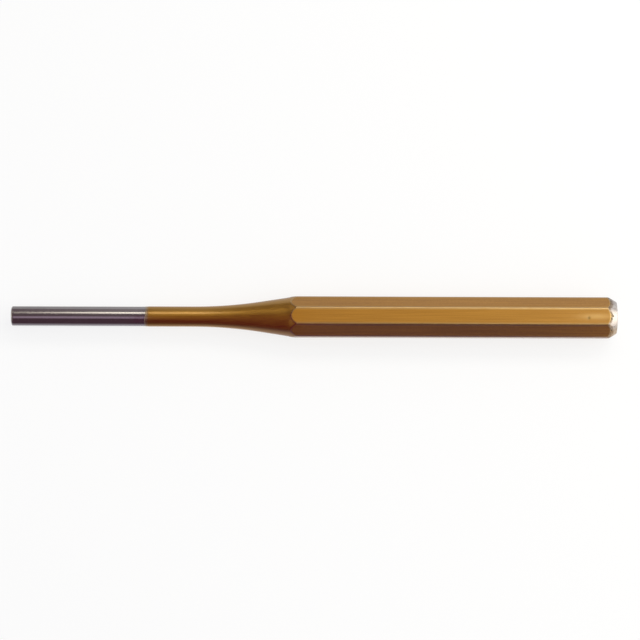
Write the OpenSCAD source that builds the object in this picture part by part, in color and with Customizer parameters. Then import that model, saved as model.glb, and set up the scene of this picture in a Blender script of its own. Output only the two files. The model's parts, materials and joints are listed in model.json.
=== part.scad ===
// Parallel pin punch. One octagonal steel bar is turned down to a round neck and pin.
// A lacquer coat covers the neck and the shank. The pin and the head are then ground bare.
// The steel is drawn as three lengths that meet face to face: pin, neck and shank.
// The punch lies on one flat along X, with the pin towards -X and the head towards +X.
// The origin is at the middle of its length, on the surface that it lies on.

/* [Overall] */
// Length from the end of the pin to the top of the crowned head
overall_l = 150; // [130:1:200]

/* [Pin] */
// Diameter of the ground pin, a little under 5 mm so that it passes a 5 mm hole
pin_d = 4.9; // [3:0.1:7]
// Bare length of the pin, from its end to the lacquer line
ground_l = 33.1; // [15:0.1:38]
// Chamfer round the end of the pin
tip_chamfer = 0.3; // [0.1:0.05:0.8]
// Depth that grinding takes off the turned neck to make the pin
grind_depth = 0.02; // [0.01:0.01:0.15]
// Length in front of the lacquer line over which the grinding runs out
runout_l = 0.7; // [0.4:0.1:2]

/* [Neck] */
// Length from the end of the pin to where the neck starts to swell
parallel_l = 45; // [40:0.1:60]
// Radius of the hollow sweep that leads from the neck into the cone
sweep_r = 111; // [40:1:120]
// Angle between the cone and the axis of the punch
cone_angle = 8.5; // [6:0.5:11]
// Depth below the flats at which the turning gets steeper
shoulder_h = 0.2; // [0.1:0.05:0.4]
// Angle between this steeper shoulder and the axis of the punch
shoulder_angle = 16; // [12:1:30]

/* [Shank] */
// Width of the octagonal bar across its flats, a little under 10 mm so that the lacquer makes it 10 mm
shank_af = 9.9; // [8:0.1:14]
// Rounding of the eight long edges of the bar
edge_r = 0.4; // [0.1:0.05:1]

/* [Head] */
// Length of the ground chamfer, along the axis from the middle of a flat
head_chamfer_l = 1.7; // [0.8:0.1:3]
// Angle between the chamfer and the axis of the punch
head_angle = 30; // [20:1:40]
// Height of the crown on the struck face
crown_h = 0.35; // [0.1:0.05:0.8]

/* [Lacquer] */
// Thickness of the lacquer coat
coat_t = 0.05; // [0.03:0.01:0.2]

/* [Hidden] */

// Colours of the ground steel and of the lacquer
steel = [0.62, 0.61, 0.60];
gold = [0.73, 0.53, 0.20];
// Facets of round surfaces in the preview
$fn = 96;
// Flats of the bar
bar_sides = 8;
// Straight steps along the sweep, the crown and one rounded edge
sweep_steps = 12;
crown_steps = 6;
edge_steps = 4;
// How far cutting shapes run past what they cut
overrun = 1;
// How far outside the edges of the bar the turned shapes end
edge_gap = 0.1;

// Radii of the pin and of the turned steel neck
pin_r = pin_d / 2;
neck_r = pin_r + grind_depth;
// Half angle of one flat, and the distance from the axis to a lacquered edge before rounding
flat_half_angle = 180 / bar_sides;
corner_r = (shank_af / 2 + coat_t) / cos(flat_half_angle);
// Radius at which turned shapes stand clear of the bar
clear_r = corner_r + edge_gap;
// Height of the axis, with the lacquered flat on the ground
axis_h = shank_af / 2 + coat_t;
// Struck face: where it starts along the axis, its radius, and the radius of its crown
face_at = overall_l - crown_h;
face_r = shank_af / 2 - head_chamfer_l * tan(head_angle);
crown_r = (pow(face_r, 2) + pow(crown_h, 2)) / (2 * crown_h);
// Where the chamfer cone leaves the clear radius
head_clear_at = face_at - (clear_r - face_r) / tan(head_angle);

// Points along an arc, by the angle at its centre
function arc(centre, radius, first, last, steps) =
    [for (i = [0:steps])
        let(a = first + (last - first) * i / steps)
        centre + radius * [cos(a), sin(a)]];

// Outline of the neck as [radius, distance from the end of the pin], grown outwards:
// the hollow sweep, the cone, then the shoulder out to the clear radius
function neck_points(grow) =
    let(sweep = arc([neck_r + sweep_r, parallel_l], sweep_r - grow, 180, 180 - cone_angle, sweep_steps))
    let(sweep_end = sweep[sweep_steps])
    let(shoulder_r = shank_af / 2 + grow - shoulder_h)
    let(shoulder_at = sweep_end[1] + (shoulder_r - sweep_end[0]) / tan(cone_angle))
    let(clear_at = shoulder_at + (clear_r - shoulder_r) / tan(shoulder_angle))
    concat(sweep, [[shoulder_r, shoulder_at], [clear_r, clear_at]]);

// Where the steel neck ends and the full octagonal shank begins
shank_at = neck_points(0)[sweep_steps + 2][1];

// Outline of the head: ground chamfer, then the crown up to the axis
function head_points() =
    let(centre = [0, overall_l - crown_r])
    let(crown_start = atan2(face_at - centre[1], face_r))
    concat([[clear_r, head_clear_at]], arc(centre, crown_r, crown_start, 90, crown_steps));

// Section of the bar with rounded edges, grown outwards
function bar_points(grow) =
    let(centre_r = (shank_af / 2 - edge_r) / cos(flat_half_angle))
    [for (i = [0:bar_sides - 1])
        let(a = (2 * i + 1) * flat_half_angle)
        each arc(centre_r * [cos(a), sin(a)], edge_r + grow,
                 a - flat_half_angle, a + flat_half_angle, edge_steps)];

// Lays a punch that stands on the end of its pin along X
module lie_down() {
    translate([-overall_l / 2, 0, axis_h]) rotate([0, 90, 0]) children();
}

// Octagonal bar, grown outwards, that runs past both ends of the punch
module bar(grow) {
    translate([0, 0, -overrun])
        linear_extrude(height = overall_l + 3 * overrun) polygon(bar_points(grow));
}

// Neck and shank without a head, grown outwards, between two distances from the end of the pin
module sleeve(grow, start, end) {
    intersection() {
        rotate_extrude()
            polygon(concat([[0, start], [neck_r + grow, start]], neck_points(grow),
                           [[clear_r, end], [0, end]]));
        bar(grow);
    }
}

// Everything inside the ground chamfer and crown of the head, from a distance along the punch
module head_envelope(start) {
    rotate_extrude() polygon(concat([[0, start], [clear_r, start]], head_points()));
}

// Ground pin, with its chamfered end and the short taper where the grinding runs out
module pin() {
    color(steel)
        lie_down()
            rotate_extrude()
                polygon([[0, 0], [pin_r - tip_chamfer, 0], [pin_r, tip_chamfer],
                         [pin_r, ground_l - runout_l], [neck_r, ground_l], [0, ground_l]]);
}

// Turned neck under the lacquer: parallel, then a hollow sweep, a cone and a shoulder up into the flats
module neck() {
    color(steel)
        lie_down()
            intersection() {
                rotate_extrude()
                    polygon(concat([[0, ground_l], [neck_r, ground_l]], neck_points(0), [[0, shank_at]]));
                bar(0);
            }
}

// Octagonal shank, with the ground chamfer and the crown of its head
module shank() {
    color(steel)
        lie_down()
            intersection() {
                head_envelope(shank_at);
                bar(0);
            }
}

// Lacquer over the neck and the shank, from the lacquer line to the ground chamfer
module lacquer_coat() {
    color(gold)
        lie_down()
            intersection() {
                head_envelope(0);
                difference() {
                    sleeve(coat_t, ground_l, overall_l + overrun);
                    sleeve(0, ground_l - overrun, overall_l + 2 * overrun);
                }
            }
}

pin();
neck();
shank();
lacquer_coat();
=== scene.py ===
"""Looks of an octagonal pin punch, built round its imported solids, in metres.

The steel is one piece: a ground pin, a turned neck, an octagonal shank and a ground head.
A gold lacquer covers the neck and the shank, from the lacquer line to the chamfer of the head.
Both are closed meshes of rings round the punch's axis, with sectors set by the bar's flats.
"""

import json
import logging
import math
from dataclasses import dataclass
from enum import Enum

import bpy
import numpy as np
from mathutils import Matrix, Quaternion, Vector


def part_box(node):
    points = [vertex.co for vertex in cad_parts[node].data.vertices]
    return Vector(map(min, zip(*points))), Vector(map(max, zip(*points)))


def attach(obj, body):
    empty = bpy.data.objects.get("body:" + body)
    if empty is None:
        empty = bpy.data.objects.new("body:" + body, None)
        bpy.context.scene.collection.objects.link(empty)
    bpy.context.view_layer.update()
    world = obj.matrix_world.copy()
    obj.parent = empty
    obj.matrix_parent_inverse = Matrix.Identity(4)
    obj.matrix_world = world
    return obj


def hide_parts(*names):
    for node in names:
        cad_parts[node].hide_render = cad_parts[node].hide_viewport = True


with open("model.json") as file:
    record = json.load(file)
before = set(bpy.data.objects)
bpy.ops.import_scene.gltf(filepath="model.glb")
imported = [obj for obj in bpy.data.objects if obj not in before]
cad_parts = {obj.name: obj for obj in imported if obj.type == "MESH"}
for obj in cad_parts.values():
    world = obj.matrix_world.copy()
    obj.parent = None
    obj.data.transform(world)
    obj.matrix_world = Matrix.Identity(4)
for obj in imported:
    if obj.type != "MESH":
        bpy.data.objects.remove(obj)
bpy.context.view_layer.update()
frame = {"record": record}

MM = 0.001
BODY = "root"
Colour = tuple[float, float, float]
Triple = tuple[float, float, float]
Span = tuple[float, float]
Outline = list[tuple[float, float]]

log = logging.getLogger("pin_punch")


class Slot(Enum):
    """The record's material slots."""

    GROUND_STEEL = "ground_steel"
    GOLD_LACQUER = "gold_lacquer"


class Ends(Enum):
    """How a stack of rings is closed: each end run to a point, or the last ring joined to the first."""

    POINTS = "points"
    LOOP = "loop"


def smooth_step(value: np.ndarray, low: float, high: float) -> np.ndarray:
    """Eases from 0 at low to 1 at high.

    Args:
        value: Numbers to ease.
        low: Where the result leaves 0.
        high: Where the result reaches 1.

    Returns:
        The eased numbers, from 0 to 1.
    """
    share = np.clip((value - low) / (high - low), 0.0, 1.0)
    return share * share * (3.0 - 2.0 * share)


def soft_min(first: np.ndarray, second: np.ndarray, reach: float) -> np.ndarray:
    """The smaller of two radii, with the edge between them rounded.

    Args:
        first: Radii of the one surface.
        second: Radii of the other surface.
        reach: How close the two radii are where the rounding starts.

    Returns:
        The radii of the two surfaces cut by each other.
    """
    near = np.maximum(reach - np.abs(first - second), 0.0) / reach
    return np.minimum(first, second) - near * near * reach / 4.0


def round_corners(corners: Outline, reach: float, steps: int) -> Outline:
    """Rounds the inner corners of an outline.

    Args:
        corners: The outline's corners, as distance along the punch and radius.
        reach: How far along both sides of a corner the rounding goes.
        steps: Straight steps in one rounded corner.

    Returns:
        The outline with each inner corner replaced by a short curve.
    """
    points = [Vector(corner) for corner in corners]
    rounded = [points[0]]
    for before, corner, after in zip(points, points[1:], points[2:]):
        start = corner + (before - corner).normalized() * reach
        end = corner + (after - corner).normalized() * reach
        for step in range(steps + 1):
            share = step / steps
            rounded.append(start.lerp(corner, share).lerp(corner.lerp(end, share), share))
    rounded.append(points[-1])
    return [(point.x, point.y) for point in rounded]


def spaced(start: float, end: float, step: float) -> list[float]:
    """Distances from start up to, but without, end, no further apart than step."""
    return list(np.linspace(start, end, max(1, math.ceil((end - start) / step)), endpoint=False))


def waves(angle: np.ndarray, parts: tuple[Triple, ...]) -> np.ndarray:
    """Adds up waves round the punch.

    Args:
        angle: Angles round the axis.
        parts: For each wave, how often it comes in a turn, its phase and its height.

    Returns:
        The sum of the waves at each angle.
    """
    return sum(height * np.sin(count * angle + phase) for count, phase, height in parts)


def add_object(name: str, data: bpy.types.ID) -> bpy.types.Object:
    """Makes an object of a mesh, a lamp or a camera and links it to the scene."""
    made = bpy.data.objects.new(name, data)
    bpy.context.scene.collection.objects.link(made)
    return made


def add_mesh(name: str, points: list[Triple], faces: list[tuple[int, ...]]) -> bpy.types.Object:
    """Makes a mesh object and links it to the scene.

    Args:
        name: Name of the mesh and of the object.
        points: Its points.
        faces: Its faces, as numbers of points.

    Returns:
        The new object.
    """
    mesh = bpy.data.meshes.new(name)
    mesh.from_pydata(points, [], faces)
    return add_object(name, mesh)


@dataclass(frozen=True)
class PunchForm:
    """Sizes of the punch, and the steps of its meshes round it.

    Distances along the punch are taken from the end of the pin.
    """

    tip_x: float
    axis_h: float
    overall_l: float
    ground_l: float
    pin_r: float
    neck_r: float
    half_af: float
    coat_t: float
    tip_chamfer: float = 0.3 * MM
    runout_l: float = 0.7 * MM
    parallel_l: float = 45.0 * MM
    sweep_r: float = 111.0 * MM
    cone_angle: float = math.radians(8.5)
    shoulder_h: float = 0.2 * MM
    shoulder_angle: float = math.radians(16.0)
    shoulder_soft: float = 0.08 * MM
    edge_r: float = 0.4 * MM
    chamfer_l: float = 1.7 * MM
    chamfer_angle: float = math.radians(30.0)
    crown_h: float = 0.35 * MM
    rim_soft: float = 0.09 * MM
    bar_sides: int = 8
    flat_steps: int = 16
    edge_steps: int = 6

    @classmethod
    def from_frame(cls) -> "PunchForm":
        """Reads the main sizes from the boxes of the solids and from the pin's mount."""
        pin_low, pin_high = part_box("pin")
        shank_low, shank_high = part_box("shank")
        coat_low, coat_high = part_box("lacquer_coat")
        mounts = {mount["name"]: mount for mount in frame["record"]["mounts"]}
        return cls(
            tip_x=pin_low.x,
            axis_h=(coat_low.z + coat_high.z) / 2,
            overall_l=shank_high.x - pin_low.x,
            ground_l=coat_low.x - pin_low.x,
            pin_r=mounts["pin"]["dims"]["r_mm"] * MM,
            neck_r=(pin_high.z - pin_low.z) / 2,
            half_af=(shank_high.z - shank_low.z) / 2,
            coat_t=(coat_high.z - shank_high.z),
        )

    @property
    def flat_half_angle(self) -> float:
        """Half the angle that one flat takes up round the axis."""
        return math.pi / self.bar_sides

    @property
    def flat_half_w(self) -> float:
        """Half the width of a flat between its rounded edges."""
        return (self.half_af - self.edge_r) * math.tan(self.flat_half_angle)

    @property
    def clear_r(self) -> float:
        """A radius outside the lacquered edges of the bar."""
        return (self.half_af + 2 * self.coat_t) / math.cos(self.flat_half_angle)

    @property
    def face_at(self) -> float:
        """Where the crowned face starts along the punch."""
        return self.overall_l - self.crown_h

    @property
    def face_r(self) -> float:
        """Radius of the crowned face."""
        return self.half_af - self.chamfer_l * math.tan(self.chamfer_angle)

    @property
    def scallop_at(self) -> float:
        """Where the steep shoulder starts along the punch, just before it cuts into the flats."""
        return self.shoulder_reaches(self.half_af - self.shoulder_h, 0.0)

    @property
    def clear_at(self) -> float:
        """Where the steep shoulder has left the bar."""
        return self.shoulder_reaches(self.clear_r, 0.0)

    def sweep_end(self, grow: float) -> tuple[float, float]:
        """Where the hollow sweep of the neck runs into the cone.

        Args:
            grow: Thickness of the layer on the steel.

        Returns:
            Distance along the punch and radius.
        """
        radius = self.sweep_r - grow
        along = self.parallel_l + radius * math.sin(self.cone_angle)
        return along, self.neck_r + self.sweep_r - radius * math.cos(self.cone_angle)

    def shoulder_reaches(self, radius: float, grow: float) -> float:
        """Where along the punch the steep shoulder behind the cone reaches a radius.

        Args:
            radius: The radius to reach.
            grow: Thickness of the layer on the steel.

        Returns:
            Distance along the punch.
        """
        sweep_at, sweep_end_r = self.sweep_end(grow)
        start_r = self.half_af + grow - self.shoulder_h
        start_at = sweep_at + (start_r - sweep_end_r) / math.tan(self.cone_angle)
        return start_at + (radius - start_r) / math.tan(self.shoulder_angle)

    def turned_radius(self, along: np.ndarray, grow: float) -> np.ndarray:
        """Radius of the turned neck, its hollow sweep, its cone and its shoulder.

        Args:
            along: Distances along the punch.
            grow: Thickness of the layer on the steel.

        Returns:
            The radii there.
        """
        radius = self.sweep_r - grow
        end_along, end_r = self.sweep_end(grow)
        into_sweep = np.clip(along - self.parallel_l, 0.0, end_along - self.parallel_l)
        sweep = self.neck_r + self.sweep_r - np.sqrt(radius * radius - into_sweep * into_sweep)
        cone = end_r + (along - end_along) * math.tan(self.cone_angle)
        flare = np.where(along > end_along, cone, sweep)
        shoulder = (along - self.shoulder_reaches(0.0, grow)) * math.tan(self.shoulder_angle)
        return -soft_min(-flare, -shoulder, self.shoulder_soft)

    def from_flat(self, angle: np.ndarray) -> np.ndarray:
        """Angles between points round the axis and the middle of their nearest flat."""
        pitch = 2 * self.flat_half_angle
        return np.abs((angle + self.flat_half_angle) % pitch - self.flat_half_angle)

    def bar_radius(self, angle: np.ndarray, grow: np.ndarray | float) -> np.ndarray:
        """Radius of the octagonal bar with its rounded edges.

        Args:
            angle: Angles round the axis, from the middle of the top flat.
            grow: Thickness of the layer on the steel.

        Returns:
            The radii there.
        """
        from_flat = self.from_flat(angle)
        from_edge = self.flat_half_angle - from_flat
        flat = (self.half_af + grow) / np.cos(from_flat)
        centre_r = (self.half_af - self.edge_r) / math.cos(self.flat_half_angle)
        reach = self.edge_r + grow
        inside = np.maximum(reach * reach - (centre_r * np.sin(from_edge)) ** 2, 0.0)
        rounded = centre_r * np.cos(from_edge) + np.sqrt(inside)
        on_flat = (self.half_af + grow) * np.tan(from_flat) <= self.flat_half_w
        return np.where(on_flat, flat, rounded)

    def chamfer_radius(self, along: np.ndarray) -> np.ndarray:
        """Radius of the cone that the head is ground to, at distances along the punch."""
        return self.face_r + (self.face_at - along) * math.tan(self.chamfer_angle)

    def chamfer_cuts(self, radius: np.ndarray | float) -> np.ndarray | float:
        """Where along the punch the ground cone of the head has a radius."""
        return self.face_at - (radius - self.face_r) / math.tan(self.chamfer_angle)

    def sectors(self) -> np.ndarray:
        """Angles of the sectors: even steps across each flat and finer ones round each edge.

        Returns:
            The angles of one full turn, from the first edge of the top flat.
        """
        edge = math.atan2(self.flat_half_w, self.half_af)
        across = np.linspace(-1.0, 1.0, self.flat_steps, endpoint=False)
        flat = np.arctan(across * math.tan(edge))
        rounded = np.linspace(edge, 2 * self.flat_half_angle - edge, self.edge_steps, endpoint=False)
        one_side = np.concatenate([flat, rounded])
        turns = 2 * self.flat_half_angle * np.arange(self.bar_sides)
        return (turns[:, None] + one_side[None, :]).ravel()

    def place(self, along: np.ndarray, radius: np.ndarray, angle: np.ndarray) -> np.ndarray:
        """Puts points given round the axis into the shared frame.

        Args:
            along: Distances along the punch.
            radius: Distances from its axis.
            angle: Angles round the axis, from the top towards +Y.

        Returns:
            The points, with x, y and z in the last dimension.
        """
        x = self.tip_x + along
        return np.stack([x, radius * np.sin(angle), self.axis_h + radius * np.cos(angle)], axis=-1)


@dataclass
class RingSkin:
    """A closed mesh made of a stack of rings that all have the same number of points."""

    points: np.ndarray
    ends: Ends

    def faces(self) -> list[tuple[int, ...]]:
        """Quads between the rings, and triangles at the ends where they run to a point."""
        rings, sectors = self.points.shape[:2]
        spans = rings if self.ends is Ends.LOOP else rings - 1
        quads = []
        for ring in range(spans):
            here = ring * sectors
            ahead = (ring + 1) % rings * sectors
            for sector in range(sectors):
                after = (sector + 1) % sectors
                quads.append((here + sector, here + after, ahead + after, ahead + sector))
        if self.ends is Ends.LOOP:
            return quads
        first_point = rings * sectors
        last_ring = first_point - sectors
        for sector in range(sectors):
            after = (sector + 1) % sectors
            quads.append((first_point, after, sector))
            quads.append((first_point + 1, last_ring + sector, last_ring + after))
        return quads

    def vertices(self) -> np.ndarray:
        """All points in one list, with the two end points last where the skin has them."""
        listed = self.points.reshape(-1, 3)
        if self.ends is Ends.LOOP:
            return listed
        return np.vstack([listed, self.points[0].mean(axis=0), self.points[-1].mean(axis=0)])

    def make(self, name: str) -> bpy.types.Object:
        """Makes the smooth-shaded object.

        Args:
            name: Name of the piece.

        Returns:
            The new object, linked to the scene.
        """
        piece = add_mesh(name, self.vertices().tolist(), self.faces())
        piece.data.polygons.foreach_set("use_smooth", [True] * len(piece.data.polygons))
        piece.data.update()
        return piece


def set_attribute(piece: bpy.types.Object, name: str, values: np.ndarray) -> None:
    """Stores one number for each point of a piece, for its material to read.

    Args:
        piece: The piece.
        name: Name of the attribute.
        values: Its numbers, in the order of the points.
    """
    attribute = piece.data.attributes.new(name, "FLOAT", "POINT")
    attribute.data.foreach_set("value", np.asarray(values, np.float32).ravel())


class Shader:
    """A material's node tree, with short calls for the nodes that the finishes share.

    The Mix node has sockets for each kind of data. The numbers here are those for colours.
    """

    MIX_SHARE, MIX_FIRST, MIX_SECOND, MIX_RESULT = 0, 6, 7, 2

    def __init__(self, name: str) -> None:
        """Starts a material with one Principled node."""
        self.material = bpy.data.materials.new(name)
        self.material.use_nodes = True
        self.tree = self.material.node_tree
        self.principled = self.tree.nodes["Principled BSDF"]
        self.position = self.tree.nodes.new("ShaderNodeTexCoord").outputs["Object"]

    def feed(self, socket: bpy.types.NodeSocket, value: object) -> None:
        """Links a socket to another one, or sets it to a constant.

        Args:
            socket: The input socket.
            value: An output socket, or a constant.
        """
        if isinstance(value, bpy.types.NodeSocket):
            self.tree.links.new(value, socket)
        elif isinstance(value, tuple) and len(socket.default_value) == len(value) + 1:
            socket.default_value = (*value, 1.0)
        else:
            socket.default_value = value

    def node(self, kind: str, inputs: dict[int | str, object], **values: object) -> bpy.types.Node:
        """Adds a node.

        Args:
            kind: The node's type name.
            inputs: What to feed to its inputs, by their names or numbers.
            values: The node's own properties.

        Returns:
            The new node.
        """
        made = self.tree.nodes.new(kind)
        for name, value in values.items():
            setattr(made, name, value)
        for key, value in inputs.items():
            self.feed(made.inputs[key], value)
        return made

    def show(self, surface: bpy.types.Node) -> None:
        """Makes a shader node the material's surface."""
        self.feed(self.tree.nodes["Material Output"].inputs["Surface"], surface.outputs[0])

    def set(self, **values: object) -> None:
        """Feeds inputs of the Principled node, by their names with underscores for spaces."""
        for name, value in values.items():
            self.feed(self.principled.inputs[name.replace("_", " ")], value)

    def attribute(self, name: str) -> bpy.types.NodeSocket:
        """The number that the piece stores under a name."""
        return self.node("ShaderNodeAttribute", {}, attribute_name=name).outputs["Fac"]

    def noise(self, cells: Triple, detail: float = 2.0) -> bpy.types.NodeSocket:
        """Noise in the piece's own space.

        Args:
            cells: Cells in a metre along x, y and z.
            detail: Finer layers of the noise.

        Returns:
            The noise, from 0 to 1.
        """
        place = self.node("ShaderNodeMapping", {"Vector": self.position, "Scale": cells}).outputs[0]
        inputs = {"Vector": place, "Scale": 1.0, "Detail": detail}
        return self.node("ShaderNodeTexNoise", inputs).outputs[0]

    def remap(self, value: bpy.types.NodeSocket, span: Span, result: Span) -> bpy.types.NodeSocket:
        """Maps a number from one span to another, and holds it there.

        Args:
            value: The number.
            span: Where it comes from.
            result: What the ends of the span become.

        Returns:
            The mapped number.
        """
        inputs = dict(enumerate((value, *span, *result)))
        return self.node("ShaderNodeMapRange", inputs, clamp=True).outputs[0]

    def times(self, first: bpy.types.NodeSocket, second: object) -> bpy.types.NodeSocket:
        """The product of two numbers."""
        return self.node("ShaderNodeMath", {0: first, 1: second}, operation="MULTIPLY").outputs[0]

    def plus(self, first: bpy.types.NodeSocket, second: object) -> bpy.types.NodeSocket:
        """The sum of two numbers."""
        return self.node("ShaderNodeMath", {0: first, 1: second}, operation="ADD").outputs[0]

    def mix(self, share: bpy.types.NodeSocket, first: object, second: object) -> bpy.types.NodeSocket:
        """Mixes two colours.

        Args:
            share: How much of the second colour there is.
            first: The first colour.
            second: The second colour.

        Returns:
            The mixed colour.
        """
        inputs = {self.MIX_SHARE: share, self.MIX_FIRST: first, self.MIX_SECOND: second}
        return self.node("ShaderNodeMix", inputs, data_type="RGBA").outputs[self.MIX_RESULT]

    def bump(self, height: bpy.types.NodeSocket, depth: float,
             under: bpy.types.NodeSocket | None = None) -> bpy.types.NodeSocket:
        """Tilts the surface by a height.

        Args:
            height: The height, from 0 to 1.
            depth: What a height of 1 is in metres.
            under: A surface that is tilted already.

        Returns:
            The tilted surface's normal.
        """
        inputs = {"Strength": 1.0, "Distance": depth, "Height": height}
        if under is not None:
            inputs["Normal"] = under
        return self.node("ShaderNodeBump", inputs).outputs["Normal"]


@dataclass(frozen=True)
class GroundSteel:
    """Steel ground bright, with fine lines and dull stains. The values are those of the pin."""

    name: str = "ground_pin"
    clean: Colour = (0.60, 0.585, 0.57)
    stained: Colour = (0.44, 0.42, 0.42)
    line_cells: Triple = (5200.0, 160.0, 160.0)
    line_depth: float = 0.0008 * MM
    line_span: Span = (0.3, 0.7)
    stain_cells: Triple = (140.0, 420.0, 420.0)
    stain_detail: float = 4.0
    stain_span: Span = (0.52, 0.72)
    stain_share: Span = (0.0, 0.35)
    roughness: Span = (0.11, 0.20)

    def colour(self, shader: Shader) -> bpy.types.NodeSocket:
        """Colour of the steel, clean or stained."""
        noise = shader.noise(self.stain_cells, self.stain_detail)
        stains = shader.remap(noise, self.stain_span, self.stain_share)
        return shader.mix(stains, self.clean, self.stained)

    def material(self) -> bpy.types.Material:
        """Builds the material."""
        shader = Shader(self.name)
        lines = shader.noise(self.line_cells, detail=3.0)
        shader.set(
            Base_Color=self.colour(shader),
            Metallic=1.0,
            Roughness=shader.remap(lines, self.line_span, self.roughness),
            Normal=shader.bump(lines, self.line_depth),
        )
        return shader.material


@dataclass(frozen=True)
class GroundHead(GroundSteel):
    """Steel of the head, ground by hand on a coarser wheel, with traces of lacquer left on it."""

    name: str = "ground_head"
    clean: Colour = (0.80, 0.75, 0.69)
    stained: Colour = (0.36, 0.28, 0.20)
    line_cells: Triple = (3600.0, 420.0, 420.0)
    line_depth: float = 0.004 * MM
    stain_cells: Triple = (900.0, 700.0, 700.0)
    stain_detail: float = 3.0
    stain_span: Span = (0.55, 0.70)
    stain_share: Span = (0.0, 0.7)
    roughness: Span = (0.22, 0.42)
    residue: Colour = (0.36, 0.25, 0.15)
    residue_cells: Triple = (1500.0, 1800.0, 1800.0)
    residue_span: Span = (0.36, 0.60)
    residue_share: Span = (0.5, 1.0)

    def colour(self, shader: Shader) -> bpy.types.NodeSocket:
        """Colour of the steel with the traces of lacquer on it."""
        patches = shader.remap(shader.noise(self.residue_cells), self.residue_span, self.residue_share)
        traces = shader.times(shader.attribute("residue"), patches)
        return shader.mix(traces, super().colour(shader), self.residue)


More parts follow.
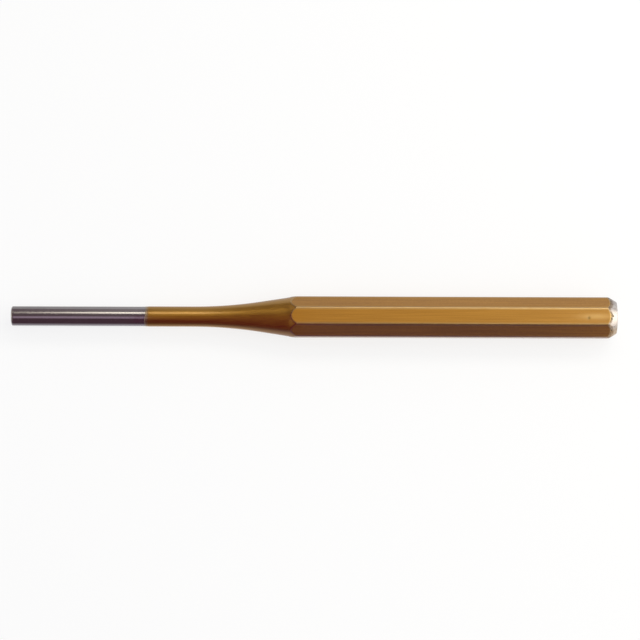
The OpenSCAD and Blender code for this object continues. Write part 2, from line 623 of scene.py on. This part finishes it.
@dataclass(frozen=True)
class GoldLacquer:
    """Gold metallic lacquer: fine flake, drawn streaks along the flats, thin at the edges. Its pale
    colour along the edges and rims is partly wearing and partly painted highlight, and a pale spot on
    the top flat near the head is a painted highlight.
    """

    deep: Colour = (0.53, 0.245, 0.022)
    bright: Colour = (0.71, 0.375, 0.046)
    thick: Colour = (0.63, 0.335, 0.031)
    thick_share: float = 0.85
    # Pale gold along the rounded edges and rims: partly wearing of the lacquer, partly a painted
    # highlight where lamps catch the edges.
    worn_and_highlight: Colour = (0.76, 0.55, 0.24)
    # Painted highlight: this pale gold stands for a lamp's reflection in a spot on the top flat near
    # the head.
    highlight_spot: Colour = (0.90, 0.58, 0.19)
    chipped: Colour = (0.34, 0.20, 0.03)
    tan: Colour = (0.36, 0.26, 0.12)
    speck: Colour = (0.09, 0.065, 0.03)
    thin: Colour = (0.60, 0.52, 0.36)
    flake_cells: Triple = (7000.0, 7000.0, 7000.0)
    streak_cells: Triple = (60.0, 3800.0, 3800.0)
    ring_cells: Triple = (2600.0, 120.0, 120.0)
    peel_cells: Triple = (900.0, 1100.0, 1100.0)
    # Noise cells for patches of the pale edge colour, which is partly wearing and partly painted
    # highlight.
    wear_and_highlight_cells: Triple = (420.0, 1500.0, 1500.0)
    speck_cells: Triple = (2600.0, 2600.0, 2600.0)
    peel_depth: float = 0.004 * MM
    streak_depth: float = 0.0015 * MM
    ring_depth: float = 0.001 * MM
    streak_share: float = 0.55
    tone_span: Span = (0.36, 0.64)
    # Spans for patches of the pale edge colour: partly wearing, partly painted highlight.
    wear_and_highlight_span: Span = (0.35, 0.65)
    wear_and_highlight_share: Span = (0.55, 0.8)
    speck_span: Span = (0.42, 0.54)
    streak_span: Span = (0.35, 0.65)
    flat_roughness: Span = (0.50, 0.58)
    neck_roughness: float = 0.41
    edge_gloss: float = 0.18
    # Lower roughness in the painted highlight spot near the head.
    highlight_spot_gloss: float = 0.06
    coat: float = 1.0
    coat_roughness: float = 0.2
    coat_ior: float = 1.7

    def colour(self, shader: Shader, streaks: bpy.types.NodeSocket) -> bpy.types.NodeSocket:
        """Colour of the lacquer.

        Args:
            shader: The material's nodes.
            streaks: The drawn streaks of the flats.

        Returns:
            The colour socket.
        """
        flake = shader.noise(self.flake_cells, detail=1.0)
        drawn = shader.times(streaks, self.streak_share)
        tone = shader.plus(drawn, shader.times(flake, 1 - self.streak_share))
        flats = shader.mix(shader.remap(tone, self.tone_span, (0.0, 1.0)), self.deep, self.bright)
        turned = shader.times(shader.attribute("turned"), self.thick_share)
        # Mixes in the painted highlight spot near the head.
        gold = shader.mix(shader.attribute("rub"), shader.mix(turned, flats, self.thick), self.highlight_spot)
        # Patches of the pale edge colour along edges and rims: partly wearing, partly painted
        # highlight.
        wear_and_highlight_noise = shader.noise(self.wear_and_highlight_cells, detail=3.0)
        patches = shader.remap(wear_and_highlight_noise, self.wear_and_highlight_span, self.wear_and_highlight_share)
        edge_wear_and_highlight = shader.mix(shader.times(shader.attribute("edge"), patches), gold, self.worn_and_highlight)
        lined = shader.mix(shader.attribute("thin"), edge_wear_and_highlight, self.thin)
        specks = shader.remap(shader.noise(self.speck_cells, detail=1.0), self.speck_span, (0.0, 1.0))
        trace = shader.mix(specks, self.speck, self.tan)
        filmed = shader.mix(shader.attribute("film"), lined, trace)
        return shader.mix(shader.attribute("chip"), filmed, self.chipped)

    def relief(self, shader: Shader, streaks: bpy.types.NodeSocket) -> bpy.types.NodeSocket:
        """Relief of the lacquer: orange peel, streaks on the flats and turning rings on the neck.

        Args:
            shader: The material's nodes.
            streaks: The drawn streaks of the flats.

        Returns:
            The normal socket.
        """
        turned = shader.attribute("turned")
        rings = shader.times(shader.noise(self.ring_cells), turned)
        flats = shader.times(streaks, shader.remap(turned, (0.0, 1.0), (1.0, 0.0)))
        peel = shader.bump(shader.noise(self.peel_cells), self.peel_depth)
        return shader.bump(rings, self.ring_depth, shader.bump(flats, self.streak_depth, peel))

    def material(self) -> bpy.types.Material:
        """Builds the material."""
        shader = Shader("gold_lacquer")
        streaks = shader.noise(self.streak_cells, detail=3.0)
        flat_rough = shader.remap(streaks, self.streak_span, self.flat_roughness)
        lower = shader.times(shader.attribute("turned"), self.neck_roughness - self.flat_roughness[1])
        edges = shader.times(shader.attribute("edge"), -self.edge_gloss)
        # Smoother lacquer in the painted highlight spot near the head.
        highlight_spot = shader.times(shader.attribute("rub"), -self.highlight_spot_gloss)
        shader.set(
            Base_Color=self.colour(shader, streaks),
            Metallic=1.0,
            Roughness=shader.plus(shader.plus(flat_rough, lower), shader.plus(edges, highlight_spot)),
            Normal=self.relief(shader, streaks),
            Coat_Weight=self.coat,
            Coat_Roughness=self.coat_roughness,
            Coat_IOR=self.coat_ior,
        )
        return shader.material


@dataclass
class SteelPunch:
    """The steel of the punch in one piece: pin, neck, octagonal shank and ground head."""

    form: PunchForm
    face_share: float = 0.25
    corner_reach: float = 0.1 * MM
    corner_steps: int = 4
    pin_step: float = 1.2 * MM
    neck_step: float = 1.5 * MM
    shank_step: float = 4.0 * MM
    scallop_step: float = 0.2 * MM
    head_step: float = 0.07 * MM
    crown_steps: int = 8
    pole_share: float = 0.01
    # The brown traces reach up to 0.7 mm past the chamfer's cut on top and bottom and up to 1.5 mm on
    # the ±Y sides, so the chamfer is browner at its sides.
    residue_l: Span = (0.7 * MM, 1.5 * MM)
    residue_fade: Span = (0.4, 1.0)

    def pin_outline(self) -> Outline:
        """End face, chamfer, ground cylinder and run-out of the pin."""
        form = self.form
        shoulder = form.ground_l - form.runout_l
        corners = [
            (0.0, form.pin_r * self.face_share),
            (0.0, form.pin_r - form.tip_chamfer),
            (form.tip_chamfer, form.pin_r),
            (2 * form.tip_chamfer, form.pin_r),
        ]
        tip = round_corners(corners, self.corner_reach, self.corner_steps)
        stations = spaced(2 * form.tip_chamfer, shoulder, self.pin_step)
        return [*tip[:-1], *((along, form.pin_r) for along in stations), (shoulder, form.pin_r)]

    def neck_outline(self) -> Outline:
        """Turned neck from the lacquer line to where the cone has left the bar."""
        form = self.form
        along = np.array([
            *spaced(form.ground_l, form.scallop_at, self.neck_step),
            *spaced(form.scallop_at, form.clear_at, self.scallop_step),
            form.clear_at,
        ])
        return list(zip(along.tolist(), form.turned_radius(along, 0.0).tolist()))

    def head_outline(self) -> Outline:
        """Bar behind the shoulder, then the ground chamfer and crowned face, up to near the axis."""
        form = self.form
        chamfer_at = form.chamfer_cuts(form.clear_r)
        crown_r = (form.face_r ** 2 + form.crown_h ** 2) / (2 * form.crown_h)
        crown = []
        for share in (*np.linspace(1.0, 0.0, self.crown_steps, endpoint=False)[1:], self.pole_share):
            radius = form.face_r * float(share)
            crown.append((form.overall_l - crown_r + math.sqrt(crown_r ** 2 - radius ** 2), radius))
        shank_at = form.clear_at + self.shank_step
        shank = [(along, form.clear_r) for along in spaced(shank_at, chamfer_at, self.shank_step)]
        bend_at = form.face_at - 2 * self.corner_reach
        chamfer = np.array(spaced(chamfer_at, bend_at, self.head_step))
        bend_r = float(form.chamfer_radius(np.array(bend_at)))
        corners = [(bend_at, bend_r), (form.face_at, form.face_r), crown[0]]
        edge = round_corners(corners, self.corner_reach, self.corner_steps)
        ground = zip(chamfer.tolist(), form.chamfer_radius(chamfer).tolist())
        return [*shank, *ground, *edge, *crown[1:]]

    def build(self) -> bpy.types.Object:
        """Builds the closed mesh, with the faces of the head in a second material slot."""
        form = self.form
        outline = np.array([*self.pin_outline(), *self.neck_outline(), *self.head_outline()])
        angle = form.sectors()
        bar = form.bar_radius(angle, 0.0)[None, :]
        along = np.repeat(outline[:, :1], len(angle), axis=1)
        radius = soft_min(outline[:, 1:], bar, form.rim_soft)
        piece = RingSkin(form.place(along, radius, angle), Ends.POINTS).make("punch_steel")
        on_top, on_side = self.residue_l
        reach = on_top + (on_side - on_top) * np.sin(angle) ** 2
        residue = 1 - smooth_step((along - form.chamfer_cuts(bar)) / reach[None, :], *self.residue_fade)
        set_attribute(piece, "residue", np.append(residue.ravel(), (0.0, 0.0)))
        middle_x = form.tip_x + form.overall_l / 2
        for face in piece.data.polygons:
            face.material_index = int(face.center.x > middle_x)
        return piece

    def dress(self, piece: bpy.types.Object) -> None:
        """Gives the steel its two finishes and its place in the part."""
        piece.data.materials.append(GroundSteel().material())
        piece.data.materials.append(GroundHead().material())
        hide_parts("pin", "neck", "shank")
        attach(piece, BODY)


@dataclass(frozen=True)
class Spot:
    """A soft round mark on the top of the punch."""

    along: float
    across: float
    length: float
    width: float

    def share(self, along: np.ndarray, radius: np.ndarray, angle: np.ndarray) -> np.ndarray:
        """How strong the mark is.

        Args:
            along: Distances along the punch.
            radius: Distances from its axis.
            angle: Angles round the axis.

        Returns:
            The shares there, from 0 to 1.
        """
        from_along = (along - self.along) / self.length
        from_across = (radius * np.sin(angle) - self.across) / self.width
        return np.exp(-(from_along ** 2 + from_across ** 2)) * (np.cos(angle) > 0)


@dataclass(frozen=True)
class CoatGrid:
    """The rings of the lacquer, as arrays with rows for its rings and columns for its sectors."""

    angle: np.ndarray
    edge: np.ndarray
    bar: np.ndarray
    cut: np.ndarray
    along: np.ndarray
    feather: np.ndarray
    film: np.ndarray


@dataclass
class LacquerCoat:
    """The lacquer on the neck and the shank, with feathered and uneven ends."""

    form: PunchForm
    feather_l: float = 1.2 * MM
    feather_lead: float = 1.2 / 9 * MM
    feather_rings: tuple[float, ...] = (0.0, 0.06, 0.16, 0.3, 0.5, 0.75, 1.0)
    settle_l: float = 7.2 * MM
    thin_l: float = 1.0 * MM
    line_slant: float = 0.12 * MM
    line_ripple: float = 0.05 * MM
    line_waves: tuple[Triple, ...] = ((3, 0.6, 1.0), (7, 2.1, 0.7), (13, 0.0, 0.4))
    neck_step: float = 1.0 * MM
    scallop_step: float = 0.13 * MM
    shank_step: float = 1.5 * MM
    head_l: float = 8.0 * MM
    head_step: float = 0.16 * MM
    film_t: float = 0.012 * MM
    film_steps: int = 7
    film_least: float = 0.03 * MM
    film_most: float = 0.9 * MM
    film_mean: float = 0.55
    film_waves: tuple[Triple, ...] = ((5, 1.4, 0.3), (23, 0.0, 0.25), (41, 0.8, 0.2))
    film_fade: Span = (0.1, 0.3)
    edge_thinning: float = 0.35
    edge_reach: float = 0.22 * MM
    rim_reach: float = 0.05 * MM
    cut_reach: float = 0.13 * MM
    dent: Spot = Spot(142.5 * MM, -0.41 * MM, 0.32 * MM, 0.32 * MM)
    dent_depth: float = 0.03 * MM
    # Painted highlight: a pale spot on the top flat near the head, where a lamp's reflection falls.
    rub: Spot = Spot(144.3 * MM, 0.0, 4.0 * MM, 0.7 * MM)
    highlight_spot_share: float = 0.8

    def line_shift(self, angle: np.ndarray) -> np.ndarray:
        """How far the lacquer line wanders along the punch, by the angle round it."""
        return self.line_slant * np.sin(angle) + self.line_ripple * waves(angle, self.line_waves)

    def film_length(self, angle: np.ndarray) -> np.ndarray:
        """How far a trace of lacquer is left on the ground chamfer, by the angle round it."""
        mid_flat = (1 + np.cos(self.form.bar_sides * angle)) / 2
        ragged = np.clip(self.film_mean + waves(angle, self.film_waves), 0.0, 1.0)
        return self.film_least + self.film_most * mid_flat * ragged

    def edge_distance(self, angle: np.ndarray) -> np.ndarray:
        """Distance across the bar's surface from the nearest rounded edge."""
        across = self.form.half_af * np.tan(self.form.from_flat(angle))
        return np.maximum(self.form.flat_half_w - across, 0.0)

    def stations(self) -> np.ndarray:
        """Distances of the rings along the punch, from the lacquer line to the head zone."""
        form = self.form
        start = form.ground_l
        return np.array([
            *(start + self.feather_l * share for share in self.feather_rings),
            *spaced(start + 2 * self.feather_l, form.scallop_at, self.neck_step),
            *spaced(form.scallop_at, form.clear_at, self.scallop_step),
            *spaced(form.clear_at, form.overall_l - self.head_l, self.shank_step),
        ])

    def grid(self) -> CoatGrid:
        """Lays out the rings: the body, the head up to its chamfer, and the film on the chamfer."""
        form = self.form
        angle = form.sectors()
        edge = np.exp(-((self.edge_distance(angle) / self.edge_reach) ** 2))
        bar = form.bar_radius(angle, form.coat_t * (1 - self.edge_thinning * edge))[None, :]
        cut = form.chamfer_cuts(bar)

        stations = self.stations()[:, None]
        from_line = stations - form.ground_l
        near_line = 1 - smooth_step(from_line, self.feather_l, self.settle_l)
        head_at = form.overall_l - self.head_l
        head = np.linspace(0.0, 1.0, round(self.head_l / self.head_step))[:, None]
        film = np.linspace(0.0, 1.0, self.film_steps + 1)[1:, None]
        along = np.vstack([
            stations + near_line * self.line_shift(angle)[None, :],
            head_at + (cut - head_at) * head,
            cut + film * self.film_length(angle)[None, :],
        ])
        feather = smooth_step(from_line, -self.feather_lead, self.feather_l)
        return CoatGrid(
            angle=angle,
            edge=edge[None, :],
            bar=bar,
            cut=cut,
            along=along,
            feather=np.vstack([feather, np.ones_like(head), np.ones_like(film)]),
            film=np.vstack([np.zeros_like(stations), np.zeros_like(head), film]),
        )

    def marks(self, grid: CoatGrid, turned: np.ndarray) -> dict[str, np.ndarray]:
        """Where the lacquer is turned, thin or a mere film, and where edges and rims are pale, partly
        from wearing and partly as painted highlight.

        Args:
            grid: The rings.
            turned: Radii of the lacquered turning, before the bar cuts it.

        Returns:
            The shares that the material reads, by name.
        """
        form = self.form
        over = grid.bar - turned
        on_turned = smooth_step(over, -form.rim_soft, form.rim_soft)
        # Rims where the cone cuts the flats and where the coat meets the chamfer; the pale colour there
        # is partly wearing, partly painted highlight.
        rim_wear_and_highlight = np.exp(-((over / self.rim_reach) ** 2))
        cut_wear_and_highlight = np.exp(-(((grid.along - grid.cut) / self.cut_reach) ** 2))
        from_line = grid.along - form.ground_l - self.line_shift(grid.angle)[None, :]
        return {
            # Pale edge colour along rounded edges and rims: partly wearing, partly painted highlight.
            "edge": np.clip(grid.edge * (1 - on_turned) + rim_wear_and_highlight + cut_wear_and_highlight, 0.0, 1.0),
            "turned": on_turned,
            "thin": 1 - smooth_step(from_line, 0.0, self.thin_l),
            "film": smooth_step(grid.film, *self.film_fade),
        }

    def build(self) -> bpy.types.Object:
        """Builds the closed shell and stores the shares that its material reads."""
        form = self.form
        grid = self.grid()
        angle, along = grid.angle, grid.along
        chamfer = form.chamfer_radius(along)
        bare_turned = form.turned_radius(along, 0.0)
        turned = bare_turned + (form.turned_radius(along, form.coat_t) - bare_turned) * grid.feather
        ground = chamfer + self.film_t * np.sqrt(1 - grid.film)
        coated = soft_min(soft_min(turned, grid.bar, form.rim_soft), ground, self.film_t)
        dent = self.dent.share(along, coated, angle)
        outer = coated - self.dent_depth * dent
        bare = soft_min(bare_turned, form.bar_radius(angle, 0.0)[None, :], form.rim_soft)
        inner = np.minimum(soft_min(bare, chamfer, self.film_t), outer)

        rings = np.vstack([form.place(along, outer, angle), form.place(along, inner, angle)[::-1]])
        piece = RingSkin(rings, Ends.LOOP).make("gold_coat")
        shares = self.marks(grid, turned)
        shares["chip"] = dent
        # Stores the share of the painted highlight spot near the head.
        shares["rub"] = self.highlight_spot_share * self.rub.share(along, coated, angle)
        for name, values in shares.items():
            layer = np.broadcast_to(values, along.shape)
            set_attribute(piece, name, np.vstack([layer, layer[::-1]]))
        return piece

    def dress(self, piece: bpy.types.Object) -> None:
        """Gives the lacquer its finish and its place in the part."""
        piece.data.materials.append(GoldLacquer().material())
        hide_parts("lacquer_coat")
        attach(piece, BODY)


@dataclass(frozen=True)
class Softbox:
    """A rectangular studio lamp that faces the punch.

    The angles across and endways tilt it from straight above towards +Y and towards +X.
    """

    name: str
    aim_x: float
    across: float
    endways: float
    distance: float
    length: float
    width: float
    radiance: float
    tint: Colour

    def hang(self, target: Vector) -> None:
        """Hangs the lamp.

        Args:
            target: Middle of the punch, on its axis.
        """
        data = bpy.data.lights.new(self.name, "AREA")
        data.shape = "RECTANGLE"
        data.size = self.length
        data.size_y = self.width
        data.energy = self.radiance * math.pi * self.length * self.width
        data.color = self.tint
        lamp = add_object(self.name, data)
        towards = Vector((math.tan(self.endways), math.tan(self.across), 1.0)).normalized()
        lamp.location = target + Vector((self.aim_x, 0.0, 0.0)) + towards * self.distance
        lamp.rotation_mode = "QUATERNION"
        lamp.rotation_quaternion = (-towards).to_track_quat("-Z", "Y")
        lamp.visible_camera = False


@dataclass(frozen=True)
class Studio:
    """Pale floor and plain lamps, and a dim tent, cloths and a card that only reflections see."""

    floor_w: float = 3.0
    floor_colour: Colour = (0.96, 0.96, 0.96)
    floor_glow: float = 0.75
    sky_colour: Colour = (0.88, 0.90, 1.0)
    sky_strength: float = 0.6
    tent_r: float = 0.9
    tent_dark: Colour = (0.078, 0.042, 0.058)
    tent_low: Colour = (0.10, 0.07, 0.18)
    tent_pale: Colour = (0.50, 0.47, 0.48)
    tent_far: Colour = (0.76, 0.66, 0.55)
    tent_span: Span = (-0.2, 0.9)
    low_span: Span = (-0.88, -0.78)
    far_span: Span = (-0.60, -0.38)
    far_side: Span = (-0.75, -0.45)
    far_rise: Span = (0.45, 0.65)
    dim_span: Span = (-0.18, 0.03)
    tent_dim: float = 0.1
    cloth_dim: float = 0.3
    fade_span: Span = (-0.040, -0.006)
    cloth_span: Span = (-0.045, -0.005)
    cloth_gap: float = 6.0 * MM
    cloth_h: float = 0.2 * MM
    cloth_dark: Colour = (0.10, 0.065, 0.30)
    cloth_near: Colour = (0.42, 0.39, 0.44)
    cloth_pale: Colour = (0.56, 0.55, 0.57)
    cloth_end: Colour = (0.68, 0.56, 0.43)
    past_head: float = 40.0 * MM
    card: Colour = (0.10, 0.006, 0.045)
    card_r: float = 70.0 * MM
    card_span: Span = (-46.0 * MM, -2.0 * MM)
    card_sweep: Span = (math.radians(12.0), math.radians(-86.0))
    card_steps: int = 12
    lamps: tuple[Softbox, ...] = (
        Softbox("key_strip", aim_x=0.24, across=math.radians(37.0), endways=0.0, distance=0.60,
                length=0.70, width=0.18, radiance=1.65, tint=(1.0, 0.93, 0.80)),
        Softbox("edge_strip", aim_x=0.32, across=math.radians(37.0), endways=0.0, distance=0.62,
                length=0.42, width=0.18, radiance=2.7, tint=(1.0, 0.95, 0.80)),
        Softbox("pin_bar", aim_x=-0.0675, across=math.radians(-18.0), endways=0.0, distance=0.10,
                length=0.045, width=0.04, radiance=0.28, tint=(0.96, 0.76, 1.0)),
        Softbox("end_box", aim_x=0.0, across=0.0, endways=math.radians(36.5), distance=0.80,
                length=0.58, width=0.96, radiance=1.3, tint=(1.0, 0.97, 0.76)),
        Softbox("head_box", aim_x=0.07, across=math.radians(-8.0), endways=math.radians(68.0),
                distance=0.40, length=0.54, width=0.24, radiance=1.25, tint=(1.0, 0.96, 0.90)),
    )

    def plate(self, name: str, low: Triple, high: Triple) -> bpy.types.Object:
        """Makes a level rectangle that belongs to the studio.

        Args:
            name: Its name.
            low: Its corner at the least x and y.
            high: Its corner at the greatest x and y.

        Returns:
            The object.
        """
        corners = [low, (high[0], low[1], low[2]), high, (low[0], high[1], low[2])]
        return add_mesh(name, corners, [(0, 1, 2, 3)])

    def floor(self) -> None:
        """Lays the pale floor. What is seen of it is part its own white, so that shadows stay light."""
        half = self.floor_w / 2
        floor = self.plate("floor", (-half, -half, 0.0), (half, half, 0.0))
        shader = Shader("pale_floor")
        shader.set(Base_Color=self.floor_colour, Roughness=1.0, Specular_IOR_Level=0.0)
        rays = shader.node("ShaderNodeLightPath", {}).outputs
        through = shader.plus(rays["Is Glossy Ray"], rays["Is Transmission Ray"])
        seen = shader.plus(rays["Is Camera Ray"], through)
        lit, white = shader.principled.outputs[0], shader.node("ShaderNodeEmission", {}).outputs[0]
        glow = shader.times(seen, self.floor_glow)
        shader.show(shader.node("ShaderNodeMixShader", {0: glow, 1: lit, 2: white}))
        shader.material.cycles.emission_sampling = "NONE"
        floor.data.materials.append(shader.material)

    def show_to_reflections(self, piece: bpy.types.Object, shader: Shader, colour: object) -> None:
        """Makes a piece of the studio glow dimly, for reflections alone.

        Args:
            piece: The piece.
            shader: Its material's nodes.
            colour: The colour of the glow, or the socket that gives it.
        """
        shader.show(shader.node("ShaderNodeEmission", {"Color": colour}))
        shader.material.cycles.emission_sampling = "NONE"
        piece.data.materials.append(shader.material)
        piece.visible_camera = False
        piece.visible_diffuse = False
        piece.visible_transmission = False
        piece.visible_shadow = False

    def ramp(self, shader: Shader, axis: str, span: Span, result: Span) -> bpy.types.NodeSocket:
        """Maps the place along one axis to a share.

        Args:
            shader: The material's nodes.
            axis: The axis, as X, Y or Z.
            span: Where the ramp starts and ends.
            result: The shares there.

        Returns:
            The share.
        """
        split = shader.node("ShaderNodeSeparateXYZ", {0: shader.position})
        return shader.remap(split.outputs[axis], span, result)

    def tent(self) -> None:
        """Hangs a round tent, dark towards -Y and above the pin, pale and warm low at the far end."""
        bpy.ops.mesh.primitive_uv_sphere_add(segments=48, ring_count=24, radius=self.tent_r)
        tent = bpy.context.object
        tent.name = "reflection_tent"
        shader = Shader("tent_cloth")
        share_y = self.ramp(shader, "Y", self.tent_span, (0.0, 1.0))
        share_x = self.ramp(shader, "X", self.dim_span, (self.tent_dim, 1.0))
        colour = shader.mix(shader.times(share_y, share_x), self.tent_dark, self.tent_pale)
        low_y = self.ramp(shader, "Y", self.low_span, (1.0, 0.0))
        low_x = self.ramp(shader, "X", self.cloth_span, (0.0, 1.0))
        near = shader.mix(shader.times(low_y, low_x), colour, self.tent_low)
        far_x = self.ramp(shader, "X", self.far_span, (1.0, 0.0))
        far_y = self.ramp(shader, "Y", self.far_side, (0.0, 1.0))
        far_z = self.ramp(shader, "Z", self.far_rise, (1.0, 0.0))
        share_far = shader.times(far_x, shader.times(far_y, far_z))
        self.show_to_reflections(tent, shader, shader.mix(share_far, near, self.tent_far))

    def cloths(self, head_x: float) -> None:
        """Lays a dark cloth on the -Y side, a warm one past the head, and a pale one on the +Y side.

        Args:
            head_x: Where the head ends.
        """
        reach, gap, height = self.tent_r, self.cloth_gap, self.cloth_h
        dark = self.plate("dark_cloth", (-reach, -reach, height), (head_x, -gap, height))
        shader = Shader("dark_cloth")
        share_x = self.ramp(shader, "X", self.cloth_span, (0.0, 1.0))
        share_y = self.ramp(shader, "Y", self.fade_span, (0.0, 1.0))
        far = shader.mix(share_x, self.tent_dark, self.cloth_dark)
        self.show_to_reflections(dark, shader, shader.mix(share_y, far, self.cloth_near))
        end_x = head_x + self.past_head
        pale = self.plate("pale_cloth", (-reach, gap, height), (end_x, reach, height))
        shader = Shader("pale_cloth")
        share_x = self.ramp(shader, "X", self.dim_span, (self.cloth_dim, 1.0))
        self.show_to_reflections(pale, shader, shader.mix(share_x, self.tent_dark, self.cloth_pale))
        end = self.plate("end_cloth", (head_x, -reach, height), (end_x, -gap, height))
        self.show_to_reflections(end, Shader("end_cloth"), self.cloth_end)

    def neck_card(self, axis_h: float) -> None:
        """Bends a russet card round the -Y side of the neck, well away, to warm the lacquer's shade.

        Args:
            axis_h: Height of the punch's axis.
        """
        corners = []
        for angle in np.linspace(*self.card_sweep, self.card_steps + 1):
            y, z = self.card_r * math.sin(angle), axis_h + self.card_r * math.cos(angle)
            corners += [(x, y, z) for x in self.card_span]
        starts = range(0, 2 * self.card_steps, 2)
        faces = [(start, start + 1, start + 3, start + 2) for start in starts]
        card = add_mesh("neck_card", corners, faces)
        self.show_to_reflections(card, Shader("russet_card"), self.card)

    def sky(self) -> None:
        """Sets the even pale light of the room, which the camera sees as white."""
        world = bpy.data.worlds.new("pale_room")
        bpy.context.scene.world = world
        world.use_nodes = True
        nodes, links = world.node_tree.nodes, world.node_tree.links
        light = nodes["Background"]
        light.inputs["Color"].default_value = (*self.sky_colour, 1.0)
        light.inputs["Strength"].default_value = self.sky_strength
        backdrop = nodes.new("ShaderNodeBackground")
        backdrop.inputs["Color"].default_value = (*self.floor_colour, 1.0)
        blend = nodes.new("ShaderNodeMixShader")
        links.new(nodes.new("ShaderNodeLightPath").outputs["Is Camera Ray"], blend.inputs[0])
        links.new(light.outputs[0], blend.inputs[1])
        links.new(backdrop.outputs[0], blend.inputs[2])
        links.new(blend.outputs[0], nodes["World Output"].inputs["Surface"])

    def set_up(self, target: Vector, head_x: float) -> None:
        """Builds the whole studio.

        Args:
            target: Middle of the punch, on its axis.
            head_x: Where the head ends.
        """
        self.floor()
        self.tent()
        self.cloths(head_x)
        self.neck_card(target.z)
        self.sky()
        for lamp in self.lamps:
            lamp.hang(target)


@dataclass(frozen=True)
class PhotoCamera:
    """The camera, almost straight above the punch and level with its length."""

    lens: float = 180.0
    sensor_w: float = 36.0
    elevation: float = math.radians(85.5)
    roll: float = math.radians(0.2)
    frame_w: float = 158.4 * MM
    aside: Span = (1.35 * MM, -0.73 * MM)
    nearest: float = 10.0 * MM

    def shoot(self, target: Vector) -> None:
        """Sets the camera up.

        Args:
            target: Middle of the punch, on its axis.
        """
        data = bpy.data.cameras.new("photo_camera")
        data.lens = self.lens
        data.sensor_width = self.sensor_w
        data.clip_start = self.nearest
        camera = add_object("photo_camera", data)
        back = Vector((0.0, -math.cos(self.elevation), math.sin(self.elevation)))
        distance = self.frame_w * self.lens / self.sensor_w
        camera.location = target + Vector((*self.aside, 0.0)) + back * distance
        camera.rotation_mode = "QUATERNION"
        level = (-back).to_track_quat("-Z", "Y")
        camera.rotation_quaternion = level @ Quaternion((0, 0, 1), self.roll)
        bpy.context.scene.camera = camera


def main() -> None:
    """Builds the punch, its studio and its camera."""
    logging.basicConfig(level=logging.INFO, format="%(name)s: %(message)s")
    form = PunchForm.from_frame()
    for part in (SteelPunch(form), LacquerCoat(form)):
        piece = part.build()
        part.dress(piece)
        log.info("%s: %d points", piece.name, len(piece.data.vertices))
    target = Vector((form.tip_x + form.overall_l / 2, 0.0, form.axis_h))
    Studio().set_up(target, form.tip_x + form.overall_l)
    PhotoCamera().shoot(target)
    bpy.context.scene.view_settings.view_transform = "Standard"


if __name__ == "__main__":
    main()
